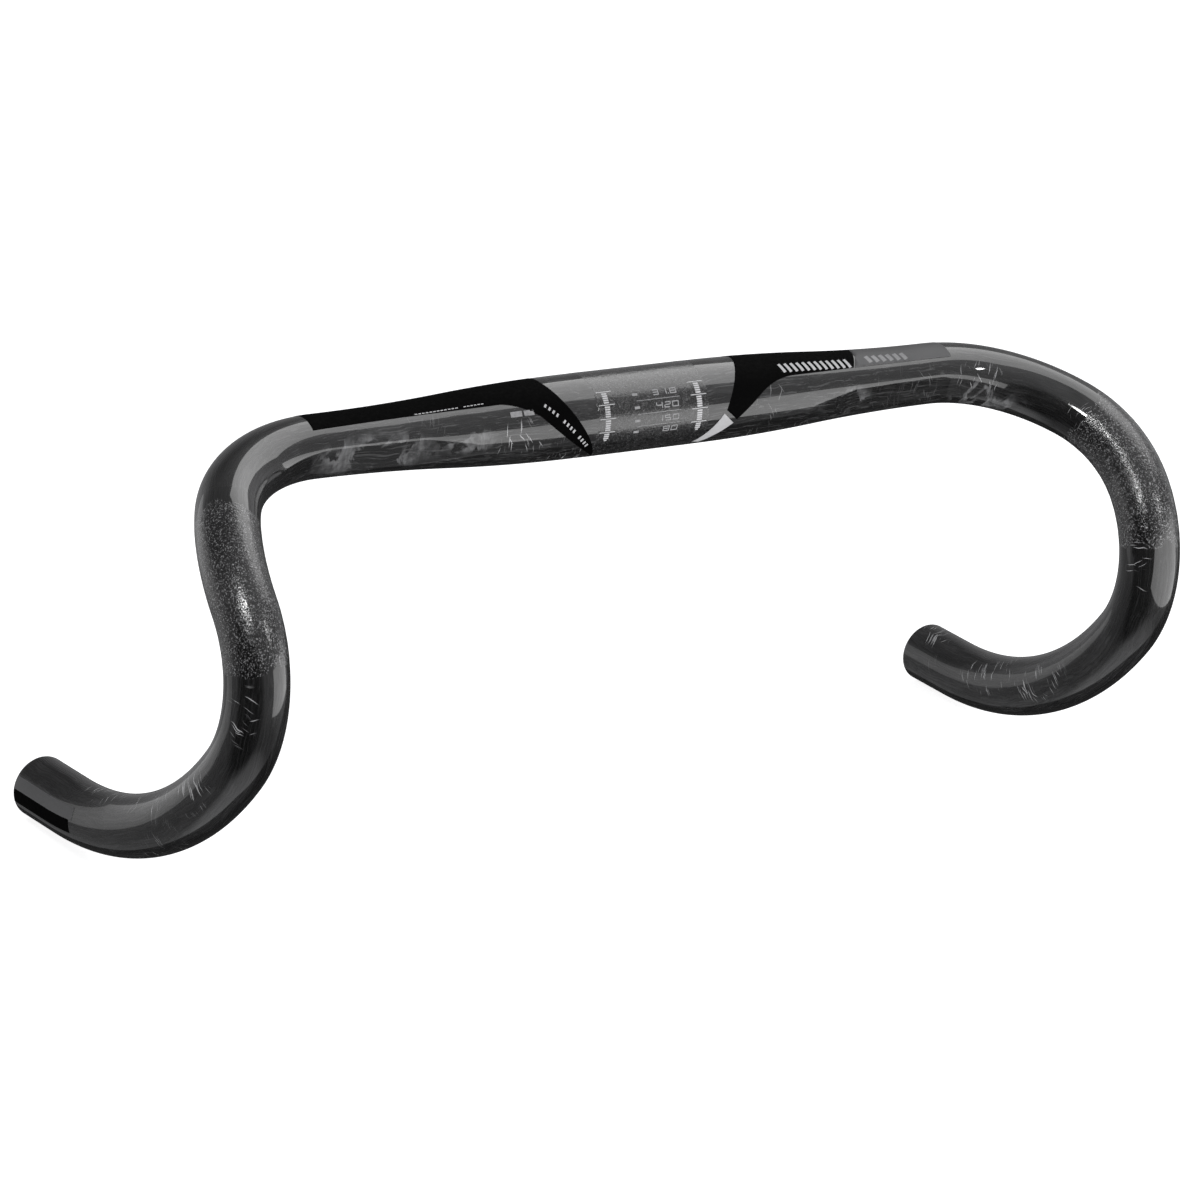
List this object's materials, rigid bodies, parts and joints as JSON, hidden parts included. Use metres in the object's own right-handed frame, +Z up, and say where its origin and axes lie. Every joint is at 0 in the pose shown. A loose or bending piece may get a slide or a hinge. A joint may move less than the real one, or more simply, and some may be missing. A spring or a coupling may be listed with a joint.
{
  "type": "road bicycle drop handlebar",
  "caption": "Compact drop handlebar moulded in carbon: oversize clamp zone, round tops, curved hooks, gritty clamp and lever zones, printed rotation scales and size label.",
  "frame": {"origin": "centre of the stem clamp zone, on the tube's axis", "axes": "+Z up, -Y the way the rider looks, so the hooks reach towards -Y; +X along the clamp zone's axis to the rider's left"},
  "size_m": [0.4438, 0.1335, 0.1774],
  "materials": {
    "carbon": "clear-coated carbon fibre, marbled unidirectional top ply",
    "adhesive": "cured structural epoxy",
    "grip_coat": "sprayed gritty anti-slip coat",
    "black_print": "deep black print under clear coat",
    "grey_print": "mid grey print under clear coat",
    "silver_print": "silver print under clear coat",
    "pale_print": "pale grey ink"
  },
  "bodies": {
    "root": {"centre_section": "carbon", "left_drop": "carbon", "right_drop": "carbon", "left_bond_line": "adhesive", "right_bond_line": "adhesive", "clamp_grip_coat": "grip_coat", "left_lever_grip_coat": "grip_coat", "right_lever_grip_coat": "grip_coat", "right_black_decal": "black_print", "left_black_decal": "black_print", "left_end_black_stripe": "black_print", "right_end_black_stripe": "black_print", "left_grey_decal": "grey_print", "left_end_grey_stripe": "grey_print", "right_end_grey_stripe": "grey_print", "left_silver_accent": "silver_print", "left_decal_stripes": "silver_print", "right_decal_marks": "silver_print", "right_rotation_scale": "pale_print", "left_rotation_scale": "pale_print", "size_label": "pale_print", "left_panel_bars": "pale_print", "right_front_badge": "pale_print"}
  },
  "joints": []
}
